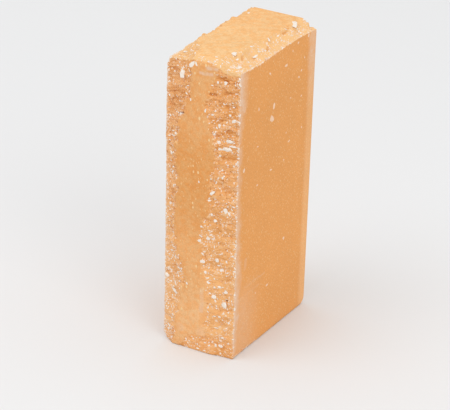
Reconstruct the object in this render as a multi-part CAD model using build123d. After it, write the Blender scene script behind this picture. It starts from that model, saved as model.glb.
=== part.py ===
from build123d import *
import os
import random

# Hyper-pressed corner brick, standing on its plain end. The pressing direction is X, so
# the two beds are the faces at the ends of X. The stretcher at -Y and the top end at +Z
# are the two show faces. Their long arrises are broken back to a rock face.

# Pressed block, in millimetres
brick_length = 250.0
brick_width = 120.0
brick_thickness = 65.0
mould_radius = 6.5
bed_bevel_width = 2.6
bed_bevel_drop = 1.1

# Wear at the two corners of the outline that the mould leaves square
back_wear_radius = 2.5
foot_wear_radius = 1.0

# Rock face, in millimetres. A reach is how far the break runs in from the bed over the
# pressed face, and a depth is how far the arris lies below that face. The values are
# evenly spaced from the bottom up on the stretcher, and from front to back on the end.
stretcher_right_reach = [
    23, 24, 25.5, 24, 23.5, 25, 27.5, 30, 32, 29.5, 24,
    24.5, 23.5, 20, 18.5, 21.5, 26.5, 29, 24, 20.5, 14,
]
stretcher_left_reach = [
    10.5, 12.5, 13, 17, 18.5, 23, 15.5, 12.5, 11.5, 10.5, 11.5,
    13, 12, 11.5, 11.5, 13, 17, 21.5, 25.5, 24.5, 28.5,
]
stretcher_right_depth = [4.8, 5.2, 5.0, 4.8, 5.0, 4.4]
stretcher_left_depth = [5.0, 4.9, 5.2, 5.1, 4.6, 5.0]
end_right_reach = [22, 18.5, 15.5, 15.5, 15.5, 13.5, 12, 12, 13, 14.5, 15]
end_left_reach = [29, 22, 13.5, 9, 9.5, 9.5, 8.2, 6.5, 9.2, 7.2, 7]
end_right_depth = [8.2, 9.2, 8.6, 6.9, 6.7, 7.6]
end_left_depth = [9.8, 10, 9.2, 9.2, 7.5, 9.2, 7.1, 5.8, 6.8, 6.9, 5.2]

# Shallow spall along the foot of the stretcher, from its left end to the right bed
foot_spall_start = 21.0
foot_spall_reach = [1.5, 9, 13, 14.5, 13, 12]
foot_spall_depth = [0.8, 1.8]

# Chips off the two left corners of the stretcher, as their legs along X, Y and Z
foot_chip_legs = [6.3, 13.0, 8.1]
top_chip_legs = [6.3, 16.6, 20.4]

# Texture of the break
facet_pitch = 5.2
ledge_share = 0.86
ledge_drop = 0.34
middle_share = 0.42
middle_drop = 0.74
across_wander = 0.9
depth_wander = 0.14
arris_wander = 0.07
clearance = 4.0
break_seed = 11


def value_along(values, share):
    """The value at a share of the way along an evenly spaced list, on straight lines."""
    place = share * (len(values) - 1)
    first = min(int(place), len(values) - 2)
    return values[first] + (values[first + 1] - values[first]) * (place - first)


def break_section(reach, depth, chance):
    """One cut across a break as (in from the arris, out from the pressed face) pairs. The
    slope from the ledge to the lip carries on above the face as far as the clearance."""
    def wander(size):
        return chance.uniform(-size, size)

    lip = reach + wander(across_wander)
    ledge = (lip * ledge_share, -depth * (ledge_drop + wander(depth_wander)))
    middle = (reach * middle_share + wander(across_wander), -depth * (middle_drop + wander(depth_wander)))
    return [
        (lip + (lip - ledge[0]) * clearance / -ledge[1], clearance),
        ledge,
        middle,
        (-clearance, -depth * (1 + wander(arris_wander))),
        (-clearance, clearance),
    ]


def faceted_solid(sections):
    """A closed solid of flat triangles between sections that have like corners."""
    faces = [Face(Wire.make_polygon(sections[0])), Face(Wire.make_polygon(sections[-1]))]
    corners = len(sections[0])
    for number, (near, far) in enumerate(zip(sections, sections[1:])):
        for here in range(corners):
            after = (here + 1) % corners
            if (number + here) % 2:
                triangles = [(near[here], near[after], far[after]), (near[here], far[after], far[here])]
            else:
                triangles = [(near[here], near[after], far[here]), (near[after], far[after], far[here])]
            faces += [Face(Wire.make_polygon(triangle)) for triangle in triangles]
    return Solid(Shell(faces))


def broken_arris(run, reaches, depths, place, seed):
    """The stone that breaks away along an arris. place turns (along, in, out) into a point."""
    chance = random.Random(seed)
    start, end = -clearance, run + clearance
    count = round((end - start) / facet_pitch)
    sections = []
    for number in range(count + 1):
        along = start + (end - start) * number / count
        share = min(max(along / run, 0), 1)
        section = break_section(value_along(reaches, share), value_along(depths, share), chance)
        sections.append([Vector(*place(along, inward, out)) for inward, out in section])
    return faceted_solid(sections)


def stretcher_arris(side, reaches, depths, seed):
    """The break along one long arris of the stretcher, from the bottom up."""
    def place(along, inward, out):
        return side * (brick_thickness / 2 - inward), -brick_width / 2 - out, along

    return broken_arris(brick_length, reaches, depths, place, seed)


def end_arris(side, reaches, depths, seed):
    """The break along one arris of the top end, from the stretcher to the back."""
    def place(along, inward, out):
        return side * (brick_thickness / 2 - inward), along - brick_width / 2, brick_length + out

    return broken_arris(brick_width, reaches, depths, place, seed)


def foot_spall(seed):
    """The shallow break along the foot of the stretcher."""
    def place(along, inward, out):
        return foot_spall_start - brick_thickness / 2 + along, -brick_width / 2 - out, inward

    return broken_arris(brick_thickness - foot_spall_start, foot_spall_reach, foot_spall_depth, place, seed)


def left_corner_chip(height, upward, legs):
    """A flat chip off a left corner of the stretcher, as the pyramid that its legs span."""
    corner = Vector(-brick_thickness / 2, -brick_width / 2, height)
    along_x, along_y, along_z = legs
    tips = [
        corner + Vector(along_x, 0, 0),
        corner + Vector(0, along_y, 0),
        corner + Vector(0, 0, upward * along_z),
    ]
    faces = [Face(Wire.make_polygon(tips))]
    for here in range(3):
        faces.append(Face(Wire.make_polygon([corner, tips[here - 1], tips[here]])))
    return Solid(Shell(faces))


def outline_block(rounded_corners):
    """A block over the outline in the Y-Z plane, with (corner, radius) pairs rounded."""
    outline = Pos(0, brick_length / 2) * Rectangle(brick_width, brick_length)
    for spot, radius in rounded_corners:
        corner = outline.vertices().sort_by_distance(spot)[0]
        outline = fillet(corner, radius)
    return extrude(Plane.YZ.offset(-brick_thickness / 2) * outline, brick_thickness)


def pressed_block():
    """The block as it leaves the mould, with bevelled beds, and its square corners worn."""
    front, back = -brick_width / 2, brick_width / 2
    block = outline_block([((front, brick_length), mould_radius), ((back, 0), mould_radius)])
    for end in (0, -1):
        bed = block.faces().sort_by(Axis.X)[end]
        rim = block.edges().group_by(Axis.X)[end]
        block = chamfer(rim, bed_bevel_width, bed_bevel_drop, reference=bed)
    worn = outline_block([((back, brick_length), back_wear_radius), ((front, 0), foot_wear_radius)])
    return block & worn


def corner_brick():
    """The pressed block with the arrises of both show faces broken away."""
    breaks = [
        stretcher_arris(1, stretcher_right_reach, stretcher_right_depth, break_seed),
        stretcher_arris(-1, stretcher_left_reach, stretcher_left_depth, break_seed + 1),
        end_arris(1, end_right_reach, end_right_depth, break_seed + 2),
        end_arris(-1, end_left_reach, end_left_depth, break_seed + 3),
        foot_spall(break_seed + 4),
        left_corner_chip(0, 1, foot_chip_legs),
        left_corner_chip(brick_length, -1, top_chip_legs),
    ]
    brick = pressed_block()
    for stone in breaks:
        brick = brick - stone
    return brick


os.makedirs("parts", exist_ok=True)
brick = corner_brick()
print("corner_brick volume", round(brick.volume), "faces", len(brick.faces()))
export_step(brick, "parts/corner_brick.step")
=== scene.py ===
import math
from itertools import combinations

import bpy
import numpy as np
from bpy.props import FloatProperty, FloatVectorProperty, IntProperty, PointerProperty
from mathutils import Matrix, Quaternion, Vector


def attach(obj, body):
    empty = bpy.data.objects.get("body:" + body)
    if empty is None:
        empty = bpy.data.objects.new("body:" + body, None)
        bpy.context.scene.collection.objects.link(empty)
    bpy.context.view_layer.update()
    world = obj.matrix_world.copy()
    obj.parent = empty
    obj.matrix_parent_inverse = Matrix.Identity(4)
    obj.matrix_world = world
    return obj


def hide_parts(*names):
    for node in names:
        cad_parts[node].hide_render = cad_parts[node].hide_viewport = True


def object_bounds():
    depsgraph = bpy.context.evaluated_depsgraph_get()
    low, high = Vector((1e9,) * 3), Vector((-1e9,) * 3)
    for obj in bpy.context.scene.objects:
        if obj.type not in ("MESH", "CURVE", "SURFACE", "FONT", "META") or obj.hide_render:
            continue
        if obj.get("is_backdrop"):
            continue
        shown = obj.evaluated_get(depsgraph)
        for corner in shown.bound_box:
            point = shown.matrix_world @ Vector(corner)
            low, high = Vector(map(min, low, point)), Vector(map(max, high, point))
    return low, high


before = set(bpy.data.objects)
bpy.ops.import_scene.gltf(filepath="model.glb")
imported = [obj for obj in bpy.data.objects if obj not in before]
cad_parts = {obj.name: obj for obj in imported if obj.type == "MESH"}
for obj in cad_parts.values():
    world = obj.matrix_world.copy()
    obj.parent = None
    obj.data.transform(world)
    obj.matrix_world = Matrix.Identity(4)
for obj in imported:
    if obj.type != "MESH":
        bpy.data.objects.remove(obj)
cad_low, cad_high = (np.array(corner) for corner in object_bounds())

bl_info = {
    "name": "Corner brick",
    "version": (1, 0, 0),
    "blender": (4, 5, 0),
    "location": "View3D > Sidebar > Brick",
    "description": "Builds a pressed corner brick with rock-faced margins, and a pale studio for it",
    "category": "Add Mesh",
}

# Everything is in metres and in the frame's axes: X through the thickness from bed to bed,
# -Y out of the broken stretcher, and +Z up to the broken end.
MM = 0.001
BRICK_NODE = "corner_brick"
SKIN_NAME = "brick_skin"
GRAINS_NAME = "limestone_grains"
MATERIAL_SLOT = "pressed_brick"

# The skin is read along rays that start on a rectangle this far inside the outline. Where
# they fan out at its corners, their spacing counts at this many insets from the corner
RAY_INSET = 20 * MM
FAN_REACH = 1.2
PLAIN_STEP = 3 * MM
ROUNDED_STEP = 1.5 * MM

# Rows beside each bed arris, as depths below the bed, and rings on the bed, as ways in from
# the arris. The rings settle to an even one at BED_HEART from the rays' origins, and where
# the arris is near, they keep at least RING_GAP of their spacing
ARRIS_ROWS = np.array([0.01, 0.4, 0.8, 1.15]) * MM
BED_RINGS = np.array([0.35, 0.9, 2.0, 4.0, 7.0, 12.0]) * MM
BED_HEART = 5 * MM
RING_GAP = 0.1
BED_CLEARANCE = 0.01 * MM

# Chips along the arrises of the beds, and how far from a bed the relief is at full height
CHIP_CELL = 3.5 * MM
CHIP_REACH = 2.2 * MM
CHIP_DEPTH = 0.8 * MM
BED_MARGIN = 4 * MM

# The noise that moves a break's lip: its cells, the heights above the foot between which it
# sets in, and how much further the left lip strays
LIP_CELLS = (5.5 * MM, 1.9 * MM)
LIP_CALM = (1 * MM, 12 * MM)
LEFT_STRAY = 1.6

# Depths between which pressed skin gives way to broken stone, and the noise on that edge
BROKEN_DEPTH = (0.06 * MM, 0.65 * MM)
EDGE_NOISE = 0.3 * MM
EDGE_CELL = 2.4 * MM

# Broken stone: the cell of its crumbs, the cell and the size of the noise that makes its
# hollows ragged, the heights between which it turns coarser, and those above the foot
# between which the relief sets in
CRUMB_CELL = 1.8 * MM
HOLLOW_CELL = 2.6 * MM
HOLLOW_NOISE = 0.9 * MM
COARSE_HEIGHTS = (90 * MM, 190 * MM)
FOOT_HEIGHTS = (0.5 * MM, 5 * MM)

# The shallow break along the foot, the crumbled arris of the top end, and the uneven skin
SPALL_DEPTH = 0.25 * MM
CRUMBLE_DEPTH = 0.45 * MM
CRUMBLE_NOISE = 0.5 * MM
CRUMBLE_CELL = 3 * MM
UNEVEN_CELL = 9 * MM

# The layers of the stone rise by this angle towards +X
LAYER_RISE = math.radians(12)

# How far behind its face's plane a grain may lie, the cell of the clumps of small grains,
# and how likely those are at heights in millimetres
SIGHT_REACH = 20 * MM
CLUMP_CELL = 7 * MM
SMALL_GRAINS = [(0, 1.6), (185, 1.5), (205, 0.7), (250, 0.6)]

# The planes of the stretcher and of the top end, in millimetres
FRONT_PLANE = -60.0
TOP_PLANE = 250.0

# Hollows are listed where the camera sees them on the plane of their face. For each
# millimetre that a spot lies below the plane, it is seen this far over: across and up, or
# across and along
STRETCHER_SLANT = (0.60, 0.56)
END_SLANT = (1.06, -1.78)

LAMP_DISTANCE = 3.0
LAMP_SIZE = 2.0
KEY_WAY = (-0.3, -0.5, 1.0)
FILL_WAY = (0.8, -0.45, 0.6)
FLOOR_REACH = 4.0

# Colours made from those of the settings, as factors for red, green and blue
DEEPER_SKIN = (1, 0.87, 0.72)
# The deepest tone of the cement, which also paints the shade of the break's ledges
DEEP_CEMENT_AND_SHADE = (0.82, 0.69, 0.45)
# Painted shade: the colours of the shade in pores, in hollows and in the deepest pit
PORE_SHADE = (0.6, 0.5, 0.4)
HOLLOW_SHADE = (0.84, 0.72, 0.5)
PIT_SHADE = (0.2, 0.2, 0.2)
DUSTY_STONE = (1, 0.95, 0.83)
END_STONE = (1, 1, 0.97)
GREY_GRAIN = (0.78, 0.78, 0.78)
WHITE_GRAIN = (1.04, 1.04, 1.04)
CREAM_STONE = (0.85, 0.58, 0.33)

# Spots in the materials: the cell in millimetres, the lowest chance that shows, the largest
# radius as a share of the cell, and the strength
SPECKS = [(4.4, 0.3, 0.25, 0.95), (2.2, 0.35, 0.31, 0.55), (1.5, 0.45, 0.34, 0.35)]
# The pores are painted shade
PORES = [(2.6, 0.45, 0.36, 0.7), (1.5, 0.35, 0.42, 0.65)]
CRUMBS = [(3.4, 0.5, 0.34, 0.95), (2, 0.34, 0.42, 0.9), (1.2, 0.3, 0.42, 0.65)]

# Hollows in the breaks, in millimetres: the two ends of each, its width and its depth, with
# places across and up the stretcher, or across and along the top end. They are sunk into
# the skin, and shade is painted into their colour.
STRETCHER_HOLLOWS = [
    (-31, 218.5, -12, 219, 5.5, 0.7), (-30, 213, -17, 212.5, 3.5, 0.6), (-28, 206.5, -19, 206, 3, 0.5),
    (-24, 231, -12, 229.5, 2, 0.4), (14, 238.4, 24, 237, 3, 0.7), (23, 239.4, 32, 238.6, 3, 0.7),
    (9, 222, 13, 223.5, 1.8, 1.1), (3.5, 212, 6, 213, 1.6, 0.9), (20, 221, 18, 216, 2.4, 0.7),
    (23, 226, 32, 228.5, 2, 0.6), (24, 216, 32, 218, 2, 0.6), (5, 215, 12, 219, 2, 0.6),
    (24, 196, 32, 197.5, 3, 0.6), (21, 173.5, 32, 176, 3, 0.7),
    (9, 150.5, 22, 152, 3, 0.5), (24, 146, 32, 149, 2.5, 0.6), (16, 133, 21, 136, 2.5, 0.5),
    (17, 126, 20, 114, 3, 0.5), (22, 108, 32, 111, 2.5, 0.5), (20, 96, 30, 98, 3, 0.5),
    (24, 71, 31, 73, 2.5, 0.5), (22, 43.5, 32, 46, 2.6, 0.5),
    (28, 53.6, 28.2, 53.8, 1.4, 2.4), (-30, 50, -24, 62, 4, 0.4), (-29, 68, -20, 71, 2.5, 0.5),
    (5, 13, 20, 17, 2.5, 0.3),
]
END_HOLLOWS = [
    (18, 38, 20.5, 31, 2.3, 1.2), (23, 25, 24, 20, 2.5, 1.1), (18, 8, 20.5, 3, 1.9, 0.8),
    (28, -10, 31, -16, 2, 0.7), (22.5, -38, 26.5, -45, 1.9, 0.8), (-22, 15, -23, 10, 1.2, 0.6),
    (-22, 0, -23.5, -17, 1.2, 0.5), (-19, -38, -11, -48, 1.8, 0.4),
]

# Height at which the worn arris of the top end begins, at places across it, in millimetres
WORN_ARRIS = [
    (-18.5, 245.4), (-10, 246.1), (-1.5, 246.9), (3, 247), (7.5, 246.9),
    (12, 246.1), (16, 244.4), (20, 242), (24, 241.8), (28, 242.4), (31, 242.8),
]

# Height at which the shallow break along the foot ends, at places across it, in millimetres
FOOT_LINE = [(-15, 0), (-12, 5), (-8, 12.5), (-2, 14.5), (5, 15.5), (12, 18)]

# Pale marks, in millimetres: from and to across the face, from and to up it, the width of
# their soft edge, and their strength
BED_MARKS = [
    (-40, -10, 58.6, 59, 0.9, 0.3), (-48, -18, 51.2, 51.6, 0.9, 0.3), (-44.4, -43.1, 19, 23.5, 1.4, 0.4),
    (-29.2, -28.2, 17.5, 21.5, 1.4, 0.3), (-42, -40, 75, 83, 2, 0.25), (-53.5, -50.5, 65.5, 68.5, 2.5, 0.4),
    (-51, -49, 210.5, 213.5, 2, 0.6), (50, 53, 223, 231, 4.5, 0.6),
]
FACE_MARKS = [
    (5.5, 13.5, 242.9, 243.5, 2.2, 0.8), (0, 10, 237.9, 238.5, 2, 0.7), (4.6, 5.6, 41, 57, 1.8, 0.35),
    (4.2, 5.8, 36.5, 41.5, 1.8, 0.5), (3, 6.5, 17, 20, 3.5, 0.25), (-15.5, -13.5, 16, 20, 3, 0.25),
]

# The film along a bed's front arris, in millimetres: heights, and the place of its inner
# edge and its strength there
BED_FILM = [
    (4, -50, 0.7), (14, -47, 0.85), (40, -43, 1), (80, -44, 0.9), (115, -46, 0.75),
    (150, -48, 0.6), (185, -49, 0.6), (205, -46, 0.7), (222, -42, 0.95), (240, -41, 0.95),
    (250, -44, 0.7),
]

# White grains that show on their own, in millimetres and degrees: place across the face,
# place up or along it, length, width and turn from level
STRETCHER_GRAINS = [
    (-7.5, 243, 7.5, 4.5, 55), (-4.2, 243.5, 5, 2, 120), (-16, 234.3, 10.5, 5, 78), (-20, 239, 3, 2, 0),
    (-22.5, 234, 2, 2, 0), (15, 233.4, 3, 2, 90), (22, 234, 4, 3, 90), (10.5, 230.2, 2.5, 1.5, 0),
    (11, 223, 3.5, 2, 0), (31, 228, 5, 2, 0), (28, 220.2, 2.5, 2, 0), (29.5, 216.7, 2.5, 1.5, 0),
    (-8.5, 214.3, 2.5, 2, 90), (-11, 225, 2.5, 2, 0), (13.7, 210.6, 3, 2, 90), (11, 206.8, 3, 1.5, 0),
    (4.6, 208.4, 4, 2, 70), (30, 206, 5.5, 3.5, 50), (26.5, 209.3, 2.5, 2, 0), (17.5, 199.3, 2.5, 2.5, 0),
    (13, 192, 3, 2, 90), (-26, 197.6, 2.5, 2.5, 0), (-21.3, 184.3, 2.5, 2.5, 0), (26, 188.5, 9, 3.5, 15),
    (17.5, 186, 4.5, 3, 30), (29.5, 185, 9, 1.8, 5), (24.5, 181.5, 9.5, 5, 10), (17.5, 180.5, 4.5, 3.5, 0),
    (18.5, 175.2, 3, 2.5, 0), (25.5, 168.8, 2.5, 2, 0), (20.5, 163.8, 4, 2.5, 50), (18.5, 161.8, 4, 2, 10),
    (21.2, 157.2, 3, 2, 90), (17.6, 156.5, 2.5, 1.5, 90), (-23, 152, 3, 2, 90), (-22.6, 155.6, 2, 1.5, 0),
    (-16, 201.5, 4, 2, 10), (-25, 167, 4, 2, 90), (0.5, 148.8, 2, 2, 0), (12.8, 142.5, 7, 3.5, 35),
    (9.5, 135.8, 4, 1.8, 0), (24.6, 131, 5, 4, 110), (27.8, 128.4, 4, 3, 135), (-25, 123.6, 2.5, 2.5, 0),
    (31.5, 136, 3, 1.5, 0), (15.5, 120, 4, 3.5, 60), (12.4, 124.5, 3, 2, 90), (3.3, 111.4, 3, 2, 0),
    (10, 110, 2.5, 2, 0), (9.6, 103, 4.5, 3, 20), (13.9, 103.6, 5, 1.8, 25), (1.5, 98.6, 4, 3, 0),
    (17.8, 86.8, 4, 4, 0), (19.6, 82.7, 4, 2, 0), (22.8, 79.3, 5, 4.5, 60), (5, 82.5, 5, 3, 5),
    (27, 87.7, 3, 2, 130), (8, 73.6, 3, 3, 0), (10.5, 65.3, 4.5, 2.6, 135), (20.5, 63.8, 4, 2, 0),
    (16.5, 70, 2, 2, 0), (27.5, 61, 3, 3, 0), (16, 53.6, 6, 3.5, 20), (17, 50.5, 3, 1.5, 120),
    (25.5, 49.5, 7, 7, 0), (-19.5, 47.7, 7.5, 3, 130), (-19, 55.5, 5, 2, 120), (-16.7, 70.5, 4, 1.5, 120),
    (-16.5, 63, 2.5, 2, 0), (-9, 58.2, 2.5, 2.5, 0), (-27, 60.5, 4.5, 4, 0), (-23.3, 83.6, 3, 2, 0),
    (21.5, 37.5, 3, 1.5, 0), (17.2, 36.8, 3, 2, 0), (30, 34.5, 3, 2.5, 90), (11, 42.7, 2, 2, 0),
    (19.2, 27.3, 4, 1.5, 0), (24.6, 20, 4, 2, 15), (18.5, 11, 3, 2, 90), (22.8, 11.8, 5, 2.5, 0),
    (12.8, 8.6, 2.5, 1.8, 0), (-2, 10.5, 2, 2, 0), (-25.4, 12.7, 4, 3, 90), (-23, 5.5, 2, 2, 0),
    (2.4, 3.2, 3.5, 1.5, 0), (8.7, 3.2, 3, 1.5, 0), (23.3, 5.5, 2, 2, 0),
]
END_GRAINS = [
    (22, 40.5, 15, 6.5, 131), (21, 28, 4, 3, 100), (23.5, 11.6, 6, 2, 105), (22.5, 0.5, 8, 1.6, 135),
    (24, -5, 4.5, 1.8, 100), (19, -19, 3, 2, 60), (32, -21, 3, 2, 90), (32, -35.5, 8, 2.5, 90),
    (17.3, -41.3, 6, 4, 100), (16, -37, 3, 2, 60), (24.3, -49, 3, 2, 90), (9.3, -53, 2.5, 2, 0),
    (-17, -54.7, 5, 3, 90), (-20.7, 43, 4, 2, 100), (32, 30, 3, 2, 90), (41, -34, 3, 2, 90),
    (38.5, -54, 3, 2, 90), (33.8, -61, 4, 3, 60),
]
BED_GRAINS = [
    (-7.5, 190.3, 8, 5, 150), (-5, 200, 6, 3, 80), (11.8, 227.7, 5.5, 2.5, 0), (-12.8, 229.2, 4, 2, 150),
    (-28, 205, 4, 2, 100), (-18.7, 242.8, 4, 3, 0), (45.5, 242, 4, 3, 60), (29.3, 240.7, 3, 2, 0),
    (32.7, 211.5, 3, 2, 0), (36.3, 216, 2, 2, 0), (38, 194, 3, 1.5, 0), (21, 161.5, 4, 1.5, 0),
    (40.5, 166.5, 2, 2, 0), (15.8, 170.3, 2, 1.5, 60), (-6.2, 147, 4, 1.5, 170), (-27, 141.7, 3, 1.5, 0),
    (13.5, 148, 2, 1.5, 0), (-47.3, 161.7, 4, 3, 60), (-5.8, 45.3, 4, 2, 170), (-23.7, 46.2, 2, 1.5, 0),
    (18.8, 77, 4, 3, 30), (20.5, 198.3, 2, 1.5, 0), (-27.8, 174.5, 3, 1.5, 0), (21.3, 236.7, 2, 1.5, 0),
    (40.5, 225.3, 2, 1.5, 0),
]


# Settings


class BrickSettings(bpy.types.PropertyGroup):
    """Sizes and colours of the brick's skin."""

    step: FloatProperty(
        name="Grid step", description="Spacing of the points on the two show faces",
        default=0.65 * MM, min=0.3 * MM, unit="LENGTH",
    )
    row_step: FloatProperty(
        name="Row step", description="Spacing of the rows from bed to bed",
        default=0.62 * MM, min=0.3 * MM, unit="LENGTH",
    )
    lip_wander: FloatProperty(
        name="Lip wander", description="How far the lip of a break strays from the solid's",
        default=1.9 * MM, min=0, unit="LENGTH",
    )
    facet_size: FloatProperty(
        name="Facet size", description="Width of the flat facets on a break",
        default=4.6 * MM, min=1 * MM, unit="LENGTH",
    )
    facet_height: FloatProperty(
        name="Facet height", description="Height of the facets on a break",
        default=0.62 * MM, min=0, unit="LENGTH",
    )
    granule_size: FloatProperty(
        name="Granule size", description="Width of the granules on a break",
        default=1.5 * MM, min=0.5 * MM, unit="LENGTH",
    )
    granule_height: FloatProperty(
        name="Granule height", description="Height of the granules on a break",
        default=0.17 * MM, min=0, unit="LENGTH",
    )
    crumb_height: FloatProperty(
        name="Crumb height", description="Height of the fine roughness on a break",
        default=0.20 * MM, min=0, unit="LENGTH",
    )
    skin_height: FloatProperty(
        name="Skin height", description="Depth of the faint hollows in a pressed face",
        default=0.07 * MM, min=0, unit="LENGTH",
    )
    seed: IntProperty(name="Seed", description="Picks one of many like breaks", default=4)
    bed_colour: FloatVectorProperty(
        name="Bed", description="Colour of the two pressed beds",
        default=(0.753, 0.339, 0.105), subtype="COLOR", min=0, max=1,
    )
    face_colour: FloatVectorProperty(
        name="Show face", description="Colour of the clean skin on the stretcher",
        default=(0.734, 0.362, 0.128), subtype="COLOR", min=0, max=1,
    )
    # Pale dust, and low on the stretcher also painted light bounced from the floor
    dust_and_bounce_colour: FloatVectorProperty(
        name="Dust", description="Colour of the stretcher where pale dust lies on it",
        default=(0.850, 0.492, 0.235), subtype="COLOR", min=0, max=1,
    )
    end_colour: FloatVectorProperty(
        name="Top end", description="Colour of the dusty top end",
        default=(0.838, 0.530, 0.256), subtype="COLOR", min=0, max=1,
    )
    break_colour: FloatVectorProperty(
        name="Break", description="Colour of the cement between the grains of a break",
        default=(0.760, 0.360, 0.130), subtype="COLOR", min=0, max=1,
    )
    film_colour: FloatVectorProperty(
        name="Film", description="Colour of the pale lime film along the bed's arrises",
        default=(0.760, 0.560, 0.420), subtype="COLOR", min=0, max=1,
    )
    speck_colour: FloatVectorProperty(
        name="Specks", description="Colour of the small pale specks in the pressed skin",
        default=(0.850, 0.585, 0.300), subtype="COLOR", min=0, max=1,
    )
    grain_colour: FloatVectorProperty(
        name="Limestone", description="Colour of the white grains",
        default=(0.840, 0.765, 0.680), subtype="COLOR", min=0, max=1,
    )


class GrainSettings(bpy.types.PropertyGroup):
    """Number and sizes of the limestone grains."""

    count: IntProperty(name="Small grains", description="Number of small grains", default=3800, min=0)
    smallest: FloatProperty(
        name="Smallest", description="Length of the smallest of the small grains",
        default=0.6 * MM, unit="LENGTH",
    )
    largest: FloatProperty(
        name="Largest", description="Length of the largest of the small grains",
        default=3.2 * MM, unit="LENGTH",
    )
    show: FloatProperty(
        name="Show", description="Growth of the grains placed one by one, for their uneven corners",
        default=1.1, min=0.1, subtype="FACTOR",
    )
    seed: IntProperty(name="Seed", description="Scatters the small grains anew", default=9)


class StudioSettings(bpy.types.PropertyGroup):
    """The floor, the lamps and the camera."""

    floor_colour: FloatVectorProperty(
        name="Floor", description="Colour of the floor", default=(0.79, 0.793, 0.798), subtype="COLOR",
    )
    sky_strength: FloatProperty(
        name="Sky", description="Strength of the light from all round", default=0.9, min=0,
    )
    key_power: FloatProperty(
        name="Key lamp", description="Power of the large lamp at the left",
        default=15, min=0, unit="POWER",
    )
    fill_power: FloatProperty(
        name="Fill lamp", description="Power of the large lamp at the right",
        default=16.5, min=0, unit="POWER",
    )
    key_colour: FloatVectorProperty(
        name="Key colour", description="Colour of the lamp at the left",
        default=(0.985, 0.99, 1), subtype="COLOR",
    )
    fill_colour: FloatVectorProperty(
        name="Fill colour", description="Colour of the lamp at the right",
        default=(1, 0.975, 0.94), subtype="COLOR",
    )
    aim: FloatVectorProperty(
        name="Aim", description="Point at the middle of the picture",
        default=(-4.92 * MM, -11.6 * MM, 108.44 * MM), subtype="XYZ", unit="LENGTH",
    )
    distance: FloatProperty(
        name="Distance", description="From the camera to the aim", default=1.46, unit="LENGTH",
    )
    azimuth: FloatProperty(
        name="Azimuth", description="Turn of the camera round the brick",
        default=math.radians(30.87), subtype="ANGLE",
    )
    elevation: FloatProperty(
        name="Elevation", description="Height of the camera above the level",
        default=math.radians(25.74), subtype="ANGLE",
    )
    roll: FloatProperty(
        name="Roll", description="Tilt of the camera about its line of sight",
        default=math.radians(1.534), subtype="ANGLE",
    )
    lens: FloatProperty(name="Lens", description="Focal length", default=147.4, unit="CAMERA")


# Patterns


def scrambled(order, spot):
    """The entry of a shuffled list of 256 that belongs to each corner of a lattice."""
    return order[(order[(order[spot[:, 0] % 256] + spot[:, 1]) % 256] + spot[:, 2]) % 256]


def lattice_noise(points, cell, seed):
    """Smooth noise of about -1 to 1. Each corner of a cubic lattice has a random direction,
    and a point blends the dot products from its eight corners with the quintic ease."""
    chance = np.random.default_rng(seed)
    order = chance.permutation(256)
    directions = chance.normal(size=(256, 3))
    directions /= np.linalg.norm(directions, axis=1, keepdims=True)
    corner = np.floor(points / cell).astype(int)
    inside = points / cell - corner
    ease = inside**3 * (inside * (inside * 6 - 15) + 10)
    total = np.zeros(len(points))
    for step in np.ndindex(2, 2, 2):
        pick = scrambled(order, corner + step)
        weight = np.where(np.array(step), ease, 1 - ease).prod(axis=1)
        total += weight * ((inside - step) * directions[pick]).sum(axis=1)
    return total * 1.7


def layered_noise(points, cell, seed, layers=3):
    """Lattice noise in layers, each with half the cell and 0.6 of the height of the last."""
    total = np.zeros(len(points))
    for layer in range(layers):
        total += 0.6**layer * lattice_noise(points, cell / 2**layer, seed + layer)
    return total


def facet_noise(points, cell, seed):
    """Flat tilted facets of about -1 to 1. Each lattice cell has a random centre, height
    and tilt, and a point lies on the plane of the centre nearest to it."""
    chance = np.random.default_rng(seed)
    order = chance.permutation(256)
    centres = chance.uniform(0.1, 0.9, size=(256, 3))
    heights = chance.uniform(-0.6, 0.6, size=256)
    tilts = chance.normal(size=(256, 3)) * 0.6
    scaled = points / cell
    corner = np.floor(scaled).astype(int)
    nearest = np.full(len(points), np.inf)
    value = np.zeros(len(points))
    for step in np.ndindex(3, 3, 3):
        spot = corner + step - 1
        pick = scrambled(order, spot)
        offset = scaled - spot - centres[pick]
        gap = (offset**2).sum(axis=1)
        plane = heights[pick] + (offset * tilts[pick]).sum(axis=1)
        value = np.where(gap < nearest, plane, value)
        nearest = np.minimum(nearest, gap)
    return value


def smooth_step(low, high, values):
    """0 up to low, 1 from high on, and the cubic ease between them. Where low is the larger
    of the two, it falls from 1 to 0 instead."""
    share = np.clip((values - low) / (high - low), 0, 1)
    return share * share * (3 - 2 * share)


# The solid's surface, read from the frame


def cad_triangles(node):
    """The triangles of a solid, as an array of triangle, corner and axis."""
    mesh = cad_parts[node].data
    mesh.calc_loop_triangles()
    corners = np.empty(len(mesh.loop_triangles) * 3, np.int32)
    mesh.loop_triangles.foreach_get("vertices", corners)
    places = np.empty(len(mesh.vertices) * 3, np.float32)
    mesh.vertices.foreach_get("co", places)
    return places.reshape(-1, 3)[corners].reshape(-1, 3, 3).astype(float)


def cut_at(triangles, across):
    """The cut through triangles at one X, as a segment in Y and Z for each triangle that has
    corners on both sides. An edge is met at the share of its length where X is reached."""
    height = triangles[:, :, 0] - across
    beyond = height > 0
    crossed = beyond.any(axis=1) & ~beyond.all(axis=1)
    here, height, beyond = triangles[crossed], height[crossed], beyond[crossed]
    following = np.roll(here, -1, axis=1)
    drop = height - np.roll(height, -1, axis=1)
    share = height / np.where(drop == 0, 1, drop)
    met = here[:, :, 1:] + (following - here)[:, :, 1:] * share[:, :, None]
    return met[beyond != np.roll(beyond, -1, axis=1)].reshape(-1, 2, 2)


def cross(first, second):
    """The cross product of vectors in a plane."""
    return first[..., 0] * second[..., 1] - first[..., 1] * second[..., 0]


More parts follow.
